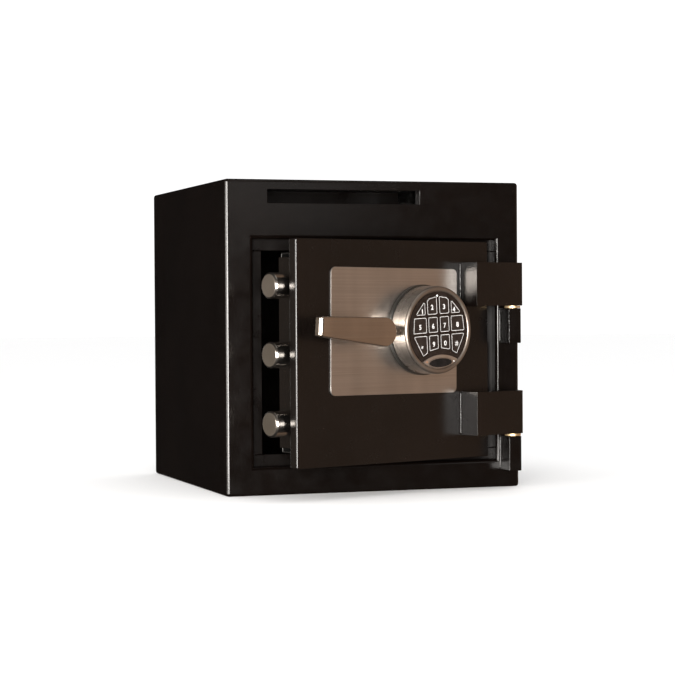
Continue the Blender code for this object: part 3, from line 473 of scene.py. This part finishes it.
def doorwayBox():
    # the doorway follows from the bars that stand behind its edges
    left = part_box("stop_left")[0].x + stopHidden
    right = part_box("stop_right")[1].x - stopHidden
    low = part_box("stop_bottom")[0].z + stopHidden
    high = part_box("stop_top")[1].z - stopHidden
    return left, right, low, high


def slotBox():
    baffleLow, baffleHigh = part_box("slot_baffle_lower")
    left = baffleLow.x + cabinet["slotPast"]
    right = baffleHigh.x - cabinet["slotPast"]
    low = baffleHigh.z + gap
    return left, right, low, low + cabinet["slotHeight"]


def makeCabinet():
    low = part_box("front_frame")[0]
    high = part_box("cabinet_back")[1]
    shell = addBox("cabinet_shell", low, high)
    selectEdges(shell, lambda a, b: True)
    roundEdges(cabinet["round"], 5)
    wall = cabinet["wall"]
    front = low.y
    inside = addBox(
        "hollow",
        (low.x + wall, front + cabinet["frontThick"], low.z + wall),
        (high.x - wall, high.y - wall, high.z - wall),
    )
    cutAway(shell, inside)
    for left, right, bottom, top in (doorwayBox(), slotBox()):
        back = front + cabinet["frontThick"] + cutPast / 2
        cutAway(shell, addBox("opening", (left, front - cutPast, bottom), (right, back, top)))
    for box, width in ((doorwayBox(), cabinet["mouthRound"]), (slotBox(), cabinet["slotRound"])):
        left, right, bottom, top = box

        def onRim(a, b):
            near = 1e-5
            for p in (a, b):
                if abs(p.y - front) > near:
                    return False
                if not (left - near < p.x < right + near and bottom - near < p.z < top + near):
                    return False
            sameX = abs(a.x - b.x) < near and (abs(a.x - left) < near or abs(a.x - right) < near)
            sameZ = abs(a.z - b.z) < near and (abs(a.z - bottom) < near or abs(a.z - top) < near)
            return sameX or sameZ

        selectEdges(shell, onRim)
        roundEdges(width, 4)
    settle(shell, "cabinet", looks["body"], "black_paint", "cabinet_wrap", "front_frame", "cabinet_back")


makeCabinet()
print("cabinet shell done")


# hinges

hinges = {
    "edge": 1.6 * mm,
    "bead": 1.5 * mm,
    "ripple": 2.2 * mm,
    "endInset": 1.0 * mm,  # upright beads stop short of the ends
    "levelStart": 2.0 * mm,
    "levelEnd": 36.0 * mm,
}


def weldBead(name, start, end, radius, body):
    # a bead laid from one end to the other, with the ripples of its passes
    deselectAll()
    start, end = Vector(start), Vector(end)
    way = end - start
    count = max(4, round(way.length / hinges["ripple"]) * 2)
    step = way / count
    turn = way.to_track_quat("Z", "Y").to_euler()
    bpy.ops.mesh.primitive_circle_add(
        vertices=12, radius=radius * 0.5, location=start, rotation=turn, fill_type="NGON"
    )
    bead = named(name)
    bpy.ops.object.mode_set(mode="EDIT")
    bpy.ops.mesh.select_all(action="SELECT")
    width = radius * 0.5
    for i in range(count):
        wanted = radius * (1.0 if i % 2 == 0 else 0.84) * (1 + 0.07 * sin(i * 2.4))
        if i == count - 1:
            wanted = radius * 0.5
        bpy.ops.mesh.extrude_region_move(TRANSFORM_OT_translate={"value": step})
        bpy.ops.transform.resize(value=(wanted / width,) * 3, center_override=start + step * (i + 1))
        width = wanted
    mergedOutward(bead)
    applyModifier(bead, "SUBSURF", levels=1, render_levels=1)
    settle(bead, body, looks["hinge"], "black_paint", smooth=70, weighted=False)


def makeHinges():
    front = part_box("front_frame")[0].y
    for level in ("upper", "lower"):
        strap = copyOfNode("hinge_strap_" + level, "hinge_block_" + level)
        roundSharp(strap, hinges["edge"], 3)
        settle(strap, "door", looks["hinge"], "satin_black", "hinge_strap_" + level)
        low, high = shutBox("hinge_strap_" + level)
        bead = hinges["bead"]
        x = low.x - bead * 0.2
        y = high.y - bead * 0.1
        inset = hinges["endInset"]
        weldBead("strap_weld_" + level, (x, y, low.z + inset), (x, y, high.z - inset), bead, "door")
        for z, tag in ((low.z, "under"), (high.z, "over")):
            weldBead(
                "strap_weld_" + tag + "_" + level,
                (low.x + hinges["levelStart"], y, z),
                (low.x + hinges["levelEnd"], y, z),
                bead * 0.8,
                "door",
            )
        knuckle = copyOfNode("knuckle_" + level, "hinge_knuckle_" + level)
        roundSharp(knuckle, hinges["edge"], 3, 50)
        settle(knuckle, "cabinet", looks["hinge"], "black_paint", "knuckle_" + level)
        low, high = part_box("knuckle_" + level)
        for x, tag in ((low.x, "inner"), (high.x, "outer")):
            weldBead(
                "knuckle_weld_" + tag + "_" + level,
                (x, front - 0.2 * mm, low.z + inset),
                (x, front - 0.2 * mm, high.z - inset),
                bead,
                "cabinet",
            )


makeHinges()
print("hinges done")


# door

door = {"edge": 1.8 * mm, "guideEdge": 1.1 * mm}


def makeDoor():
    low, high = shutBox("door_plate")
    plate = addBox("door_slab", low, high)
    selectEdges(plate, lambda a, b: True)
    roundEdges(door["edge"], 4)
    rodLow, rodHigh = shutBox("handle_spindle")
    radius = (rodHigh.x - rodLow.x) / 2 + gap
    x, z = (rodLow.x + rodHigh.x) / 2, (rodLow.z + rodHigh.z) / 2
    cutAway(plate, addRod("bore", radius, (x, low.y - cutPast, z), (x, high.y + cutPast, z)))
    settle(plate, "door", looks["door"], "satin_black", "door_plate")
    trim = copyOfNode("trim_plate", "trim_sheet")
    trim.data.materials.append(looks["trim"])
    # faces that look forward keep the brushed finish; the edge faces get painted shade that dulls their
    # highlight
    trim.data.materials.append(looks["shadedTrimEdge"])
    for face in trim.data.polygons:
        face.material_index = 0 if face.normal.y < -0.99 else 1
    settle(trim, "door", None, "brushed_stainless", "trim_plate", smooth=25)
    guide = copyOfNode("bolt_guide", "bolt_rail")
    roundSharp(guide, door["guideEdge"], 2, 50)
    settle(guide, "door", looks["body"], "black_paint", "bolt_guide")


makeDoor()
print("door done")


# locking bolts

boltShape = {"chamfer": 2.0 * mm, "edge": 0.5 * mm}


def makeBolts():
    low, high = shutBox("locking_bolt_middle")
    radius = (high.z - low.z) / 2
    centre = (0, (low.y + high.y) / 2, (low.z + high.z) / 2)
    c = boltShape["chamfer"]
    profile = [(0, low.x), (radius - c, low.x), (radius, low.x + c), (radius, high.x), (0, high.x)]
    first = turnOnLathe("bolt_middle", profile, centre, "X", 96)
    roundSharp(first, boltShape["edge"], 3, 25)
    for level in ("upper", "lower", "middle"):
        node = "locking_bolt_" + level
        bolt = first
        if level != "middle":
            pick(first)
            bpy.ops.object.duplicate()
            bolt = bpy.context.object
            bolt.name = "bolt_" + level
            bolt.data.name = bolt.name
            rise = shutBox(node)[0].z - low.z
            bpy.ops.transform.translate(value=(0, 0, rise))
            bpy.ops.object.transform_apply(location=True, rotation=False, scale=False)
        settle(bolt, "boltwork", looks["bolt"], "chrome", node)


makeBolts()
print("bolts done")


# lever

lever = {
    "hub": 16.0 * mm,
    "tipHalf": 10.6 * mm,
    "reach": 90.3 * mm,
    "tilt": 4.5,  # degrees
    "tipRound": 4.5 * mm,  # the tip's front edge, rounded far more than the rest
    "edge": 2.0 * mm,
    "cutHalf": 30.0 * mm,  # the tip's cutter, above and below the hub
}


def makeLever():
    front, back = leverLow.y, leverHigh.y
    hub = Vector((spindle.x, front, spindle.z))
    deselectAll()
    bpy.ops.mesh.primitive_circle_add(
        vertices=64, radius=lever["hub"], location=hub, rotation=(pi / 2, 0, 0)
    )
    piece = named("lever_arm")
    selectVerts(piece, lambda p: p.x < hub.x - 1e-5)
    bpy.ops.mesh.delete(type="VERT")
    for side in (1, -1):  # the two long edges run to the tip
        bpy.ops.object.mode_set(mode="OBJECT")
        end = max(piece.data.vertices, key=lambda v: side * v.co.z).co.copy()
        selectVerts(piece, lambda p: (p - end).length < 1e-6)
        step = Vector((-lever["reach"], 0, side * (lever["tipHalf"] - lever["hub"])))
        bpy.ops.mesh.extrude_region_move(TRANSFORM_OT_translate={"value": step})
    bpy.ops.mesh.select_all(action="SELECT")
    bpy.ops.mesh.edge_face_add()
    bpy.ops.mesh.extrude_region_move(TRANSFORM_OT_translate={"value": (0, back - front, 0)})
    mergedOutward(piece)
    tipX = hub.x - lever["reach"]
    r, half = lever["tipRound"], lever["cutHalf"]
    waste = addBox("waste", (tipX - r, front - r, hub.z - half), (tipX + r, front + r, hub.z + half))
    low = (tipX + r, front + r, hub.z - half - cutPast)
    high = (tipX + r, front + r, hub.z + half + cutPast)
    kept = addRod("kept", r, low, high)
    cutAway(waste, kept)
    cutAway(piece, waste)
    roundSharp(piece, lever["edge"], 4)
    tilt = Matrix.Rotation(radians(lever["tilt"]), 4, "Y")
    piece.data.transform(Matrix.Translation(hub) @ tilt @ Matrix.Translation(-hub))
    bore = (spindleHigh.x - spindleLow.x) / 2 + gap
    socketEnd = (hub.x, back + cutPast, hub.z)
    cutAway(piece, addRod("socket", bore, (hub.x, spindleLow.y - gap, hub.z), socketEnd))
    settle(piece, "handle", looks["lever"], "chrome", "handle_lever")


def makeCollar():
    low, high = shutBox("handle_collar")
    bore = (spindleHigh.x - spindleLow.x) / 2 + gap
    foot = (high.x - low.x) / 2
    neck = foot - 2 * mm
    profile = [
        (bore, low.y), (neck - 0.4 * mm, low.y), (neck, low.y + 2 * mm), (neck, high.y - 4 * mm),
        (neck + 0.5 * mm, high.y - 2.6 * mm), (foot, high.y - 1.4 * mm), (foot, high.y), (bore, high.y),
        (bore, low.y),
    ]
    collar = turnOnLathe("lever_collar", profile, (spindle.x, 0, spindle.z), "Y", 72)
    roundSharp(collar, 0.4 * mm, 2, 30)
    settle(collar, "handle", looks["collar"], "chrome", "handle_collar")


makeLever()
makeCollar()
print("lever done")


# keypad

pad = {
    "lip": 6.0 * mm,
    "satinDepth": 2.2 * mm,
    "ovalLine": 0.55 * mm,
    "ovalRim": 0.05 * mm,
    "tilt": 3.0,  # degrees
    "dotOut": 2.6 * mm,  # the two dots on the crescent, past the badge's ends
    "dotRise": 1.2 * mm,
    "dotRadius": 0.75 * mm,
}


def lineOnFront(piece, front, margin, width, ground, line):
    # a line of another finish that runs round inside the edge of the front face
    piece.data.materials.append(ground)
    piece.data.materials.append(line)
    selectFaces(piece, lambda c, n: n.y < -0.99 and c.y < front + 0.05 * mm)
    bpy.ops.mesh.inset(thickness=margin, use_even_offset=True)
    bpy.ops.mesh.inset(thickness=width, use_even_offset=True)
    mesh = bmesh.from_edit_mesh(piece.data)
    inner = [f for f in mesh.faces if f.select]
    bpy.ops.mesh.select_more()
    for face in inner:
        face.select_set(False)
    for face in mesh.faces:
        if face.select and face.normal.y < -0.99 and len(face.verts) == 4:
            face.material_index = 1
    bmesh.update_edit_mesh(piece.data)
    bpy.ops.object.mode_set(mode="OBJECT")


def makeKeypadBody():
    low, high = padLow, padHigh
    centre = (padCentre.x, 0, padCentre.z)
    outer = (high.x - low.x) / 2
    lens = shutBox("keypad_lens")
    inner = outer - pad["lip"]
    floor = lens[1].y + gap
    front = low.y
    profile = [
        (0, high.y), (outer - 0.6 * mm, high.y), (outer, high.y - 0.6 * mm), (outer, front + 3.4 * mm),
        (outer - 0.35 * mm, front + 2.0 * mm), (outer - 1.1 * mm, front + 0.8 * mm),
        (outer - 2.4 * mm, front + 0.1 * mm), (outer - 3.4 * mm, front),
        (inner + 1.4 * mm, front + 0.35 * mm), (inner + 0.4 * mm, front + 0.9 * mm),
        (inner, front + 1.8 * mm), (inner, floor), (0, floor),
    ]
    drum = turnOnLathe("keypad_drum", profile, centre, "Y", 144)
    drum.data.materials.append(looks["drum"])
    drum.data.materials.append(looks["rim"])
    for face in drum.data.polygons:
        face.material_index = 1 if face.center.y < front + pad["satinDepth"] else 0
    settle(drum, "door", None, "chrome", "keypad_housing", smooth=40)
    low, high = shutBox("keypad_base")
    radius = (high.x - low.x) / 2
    profile = [
        (0, high.y), (radius, high.y), (radius, low.y + 1.2 * mm), (radius - 0.4 * mm, low.y + 0.4 * mm),
        (radius - 1.3 * mm, low.y), (0, low.y),
    ]
    base = turnOnLathe("keypad_foot", profile, centre, "Y", 144)
    settle(base, "door", looks["base"], "steel", "keypad_base", smooth=40)


def makeKeypadFace():
    lens = copyOfNode("keypad_lens", "keypad_window")
    settle(lens, "door", looks["lens"], "gloss_black", "keypad_lens", smooth=25)
    crescent = copyOfNode("keypad_crescent", "keypad_crest")
    settle(crescent, "door", looks["crest"], "chrome", "keypad_crescent", smooth=50)
    badge = copyOfNode("keypad_badge", "keypad_oval")
    badgeLow, badgeHigh = shutBox("keypad_badge")
    lineOnFront(badge, badgeLow.y, pad["ovalRim"], pad["ovalLine"], looks["badge"], looks["crest"])
    settle(badge, "door", None, "gloss_black", "keypad_badge", smooth=50)
    low, high = shutBox("keypad_light")
    centre = (low + high) / 2
    radius = (high.x - low.x) / 2
    dome = [
        (0, high.y), (radius, high.y), (radius, low.y + 0.35 * mm), (radius * 0.8, low.y + 0.12 * mm),
        (radius * 0.45, low.y + 0.02 * mm), (0, low.y),
    ]
    lamp = turnOnLathe("keypad_lamp", dome, (centre.x, 0, centre.z), "Y", 32)
    settle(lamp, "door", looks["lamp"], "light_white", "keypad_light", smooth=60)
    middle = (badgeLow + badgeHigh) / 2
    front = shutBox("keypad_crescent")[0].y
    for side, look, tag in ((-1, "amber", "left"), (1, "lamp", "right")):
        x = middle.x + side * ((badgeHigh.x - badgeLow.x) / 2 + pad["dotOut"])
        z = middle.z + side * pad["dotOut"] * sin(radians(pad["tilt"])) + pad["dotRise"]
        r = pad["dotRadius"]
        dot = [
            (0, front + 0.4 * mm), (r, front + 0.3 * mm),
            (r * 0.8, front - 0.1 * mm), (0, front - 0.25 * mm),
        ]
        piece = turnOnLathe("crest_dot_" + tag, dot, (x, 0, z), "Y", 20)
        settle(piece, "door", looks[look], "light_white", smooth=60)


keyShape = {
    "margin": 0.35 * mm,  # black rim outside the printed line
    "line": 0.48 * mm,
    "digit": 7.6 * mm,
    "bold": 0.022,  # in figure heights
    "signBold": 0.004,
    "figureDepth": 0.04 * mm,
    "figureLift": 0.03 * mm,
    "drop": 0.10,  # how far under the key's middle a figure stands, in key heights
}
figures = {"star": "*", "hash": "#"}
# on the keys with a slanted side the figure moves over, right and up in mm
figureShift = {"1": (2.0, -1.6), "4": (-2.0, -1.6), "star": (1.6, -0.6), "hash": (-1.6, 2.2)}


def makeKey(name):
    node = "key_" + name
    low, high = shutBox(node)
    key = copyOfNode(node, "keycap_" + name)
    lineOnFront(key, low.y, keyShape["margin"], keyShape["line"], looks["key"], looks["print"])
    settle(key, node, None, "key_black", node, smooth=25)
    middle = (low + high) / 2
    shift = figureShift.get(name, (0, 0))
    x = middle.x + shift[0] * mm
    z = middle.z - keyShape["drop"] * (high.z - low.z) + shift[1] * mm
    deselectAll()
    bpy.ops.object.text_add(location=(0, 0, 0))
    text = bpy.context.object
    text.name = "figure_" + name
    text.data.body = figures.get(name, name)
    text.data.size = keyShape["digit"]
    bold = keyShape["signBold"] if name in figures else keyShape["bold"]
    text.data.offset = bold * keyShape["digit"]
    text.data.extrude = keyShape["figureDepth"]
    text.data.resolution_u = 4
    text.data.align_x = "CENTER"
    text.data.align_y = "CENTER"
    bpy.ops.object.convert(target="MESH")
    figure = bpy.context.object
    place = Matrix.Translation((x, low.y - keyShape["figureLift"], z))
    tilt = Matrix.Rotation(-radians(pad["tilt"]), 4, "Y")
    figure.data.transform(place @ tilt @ Matrix.Rotation(pi / 2, 4, "X"))
    figure.data.name = figure.name
    settle(figure, node, looks["print"], "light_white", smooth=30, weighted=False)


makeKeypadBody()
makeKeypadFace()
for keyName in ("1", "2", "3", "4", "5", "6", "7", "8", "9", "0", "star", "hash"):
    makeKey(keyName)
print("keypad done")


# stop bars behind the doorway, and what is fixed on the back of the door

backWork = {
    "barEdge": 0.8 * mm,
    "coverEdge": 1.2 * mm,
    "screwRadius": 3.4 * mm,
    "screwHeight": 2.0 * mm,
    "slotDepth": 1.0 * mm,
    "screwInset": (12 * mm, 14 * mm),
}


def makeBars():
    for side in ("top", "bottom", "left", "right"):
        bar = copyOfNode("stop_" + side, "stop_rail_" + side)
        roundSharp(bar, backWork["barEdge"], 2)
        settle(bar, "cabinet", looks["inner"], "black_paint", "stop_" + side)
    bar = copyOfNode("dead_bar", "hinge_side_bar")
    roundSharp(bar, backWork["barEdge"], 2)
    settle(bar, "door", looks["body"], "black_paint", "dead_bar")


def makeWorkCover():
    low, high = shutBox("work_cover")
    cover = copyOfNode("work_cover", "bolt_cover")
    roundSharp(cover, backWork["coverEdge"] / 2, 3)
    settle(cover, "door", looks["sheet"], "dark_sheet", "work_cover")
    r, h = backWork["screwRadius"], backWork["screwHeight"]
    top = high.y + h
    hollow = top - backWork["slotDepth"]
    dome = [
        (0, high.y), (r, high.y), (r, high.y + 0.25 * h), (0.8 * r, high.y + 0.75 * h),
        (0.4 * r, top), (0.3 * r, hollow), (0, hollow),
    ]
    insetX, insetZ = backWork["screwInset"]
    columns = (low.x + insetX, high.x - insetX)
    rows = (low.z + insetZ, (low.z + high.z) / 2, high.z - insetZ)
    places = [(x, z) for x in columns for z in rows]
    for number, (x, z) in enumerate(places, 1):
        screw = turnOnLathe("cover_screw_%d" % number, dome, (x, 0, z), "Y", 24)
        settle(screw, "door", looks["steel"], "steel", smooth=40)


makeBars()
makeWorkCover()
print("bars and cover done")


# the rest keeps its CAD shape and takes a finish

carried = {
    "inner": ("slot_baffle_upper", "slot_baffle_lower"),
    "sheet": ("lock_case",),
    "steel": (
        "hinge_pin_upper", "hinge_pin_lower", "bolt_carrier", "hard_plate", "lock_cover", "handle_spindle",
        "drive_cam", "crank_pin", "spindle_ring", "lock_bolt",
    ),
    "bronze": ("hinge_washer_upper", "hinge_washer_lower"),
}
for lookName, nodes in carried.items():
    for nodeName in nodes:
        slots = frame["nodes"][nodeName].data.materials
        slots.clear()
        slots.append(looks[lookName])
print("carried nodes finished")


# stage, light and camera

stage = {"floor": 12.0, "floorColour": (0.93, 0.93, 0.93), "worldStrength": 1.1}
camera = {
    "place": (-0.7641, -2.29575, 0.2125),
    "yaw": 18.67,  # yaw, dip and roll in degrees
    "dip": 0.91,
    "roll": 0.35,
    "lens": 105.27,
    "sensor": 36,
    "farthest": 60,
}


# what shiny surfaces see round them, from the far left to the far right
room = (
    (-0.99, (0.26, 0.22, 0.18)),
    (-0.80, (0.20, 0.17, 0.14)),
    (-0.45, (0.010, 0.008, 0.007)),
    (0.10, (0.012, 0.010, 0.009)),
    (0.45, (0.07, 0.052, 0.040)),
    (0.80, (0.33, 0.215, 0.145)),
    (0.99, (0.36, 0.235, 0.16)),
)


def makeFloor():
    deselectAll()
    bpy.ops.mesh.primitive_circle_add(vertices=96, radius=stage["floor"], fill_type="NGON")
    floor = named("studio_floor")
    bpy.ops.object.mode_set(mode="EDIT")
    bpy.ops.mesh.inset(thickness=stage["floor"] * 0.5)
    bpy.ops.object.mode_set(mode="OBJECT")
    look, tree, shader = startLook("studio_floor_paint", stage["floorColour"], 0.9, 0, 0.1)
    floor.data.materials.append(look)
    floor.visible_glossy = False
    floor.visible_shadow = False


# name, azimuth (0 in front, positive to the right), height, distance, size, watts, colour, aim
lights = (
    ("key_light", -22, 0.15, 2.8, (1.3, 1.0), 175, (1.0, 0.96, 0.92), (0, 0, 0.15)),
    ("left_strip", -64, 0.2, 2.4, (1.5, 0.8), 45, (1.0, 0.96, 0.92), (0, 0, 0.15)),
    ("front_light", 11, 0.55, 1.7, (0.35, 0.4), 0.3, (1.0, 0.98, 0.96), (-0.1, 0, 0.3)),
    ("top_light", 10, 2.6, 0.9, (1.6, 1.6), 5, (1.0, 0.96, 0.92), (0, 0, 0.18)),
)


def softbox(name, azimuth, height, distance, size, power, colour, aim):
    deselectAll()
    place = Vector((distance * sin(radians(azimuth)), -distance * cos(radians(azimuth)), height))
    bpy.ops.object.light_add(type="AREA", location=place)
    light = bpy.context.object
    light.name = name
    light.data.shape = "RECTANGLE"
    light.data.size, light.data.size_y = size
    light.data.energy = power
    light.data.color = colour
    light.rotation_euler = (Vector(aim) - place).to_track_quat("-Z", "Y").to_euler()


def makeWorld():
    world = bpy.data.worlds.new("studio_world")
    bpy.context.scene.world = world
    world.use_nodes = True
    nodes, links = world.node_tree.nodes, world.node_tree.links
    seen = nodes["Background"]
    seen.inputs["Color"].default_value = (1, 1, 1, 1)
    seen.inputs["Strength"].default_value = stage["worldStrength"]
    mirrored = nodes.new("ShaderNodeBackground")
    coords = nodes.new("ShaderNodeTexCoord")
    parts = nodes.new("ShaderNodeSeparateXYZ")
    links.new(coords.outputs["Generated"], parts.inputs["Vector"])
    shift = nodes.new("ShaderNodeMapRange")
    shift.inputs["From Min"].default_value = -1
    links.new(parts.outputs["X"], shift.inputs["Value"])
    band = nodes.new("ShaderNodeValToRGB")
    stops = band.color_ramp.elements
    for place, tone in room:
        stop = stops[0] if place == room[0][0] else stops.new((place + 1) / 2)
        stop.position = (place + 1) / 2
        stop.color = (*tone, 1)
    stops.remove(stops[-1])
    links.new(shift.outputs["Result"], band.inputs["Fac"])
    links.new(band.outputs["Color"], mirrored.inputs["Color"])
    mirrored.inputs["Strength"].default_value = 1.0
    path = nodes.new("ShaderNodeLightPath")
    mix = nodes.new("ShaderNodeMixShader")
    links.new(path.outputs["Is Glossy Ray"], mix.inputs["Fac"])
    links.new(seen.outputs["Background"], mix.inputs[1])
    links.new(mirrored.outputs["Background"], mix.inputs[2])
    links.new(mix.outputs["Shader"], nodes["World Output"].inputs["Surface"])


def makeCamera():
    deselectAll()
    bpy.ops.object.camera_add(location=camera["place"])
    eye = bpy.context.object
    eye.name = "studio_camera"
    eye.data.lens = camera["lens"]
    eye.data.sensor_width = camera["sensor"]
    eye.data.clip_end = camera["farthest"]
    eye.matrix_world = (
        Matrix.Translation(camera["place"])
        @ Matrix.Rotation(-radians(camera["yaw"]), 4, "Z")
        @ Matrix.Rotation(pi / 2 - radians(camera["dip"]), 4, "X")
        @ Matrix.Rotation(-radians(camera["roll"]), 4, "Z")
    )
    bpy.context.scene.camera = eye


makeFloor()
makeWorld()
for facts in lights:
    softbox(*facts)
makeCamera()
bpy.context.scene.view_settings.view_transform = "Standard"
print("stage, light and camera done")
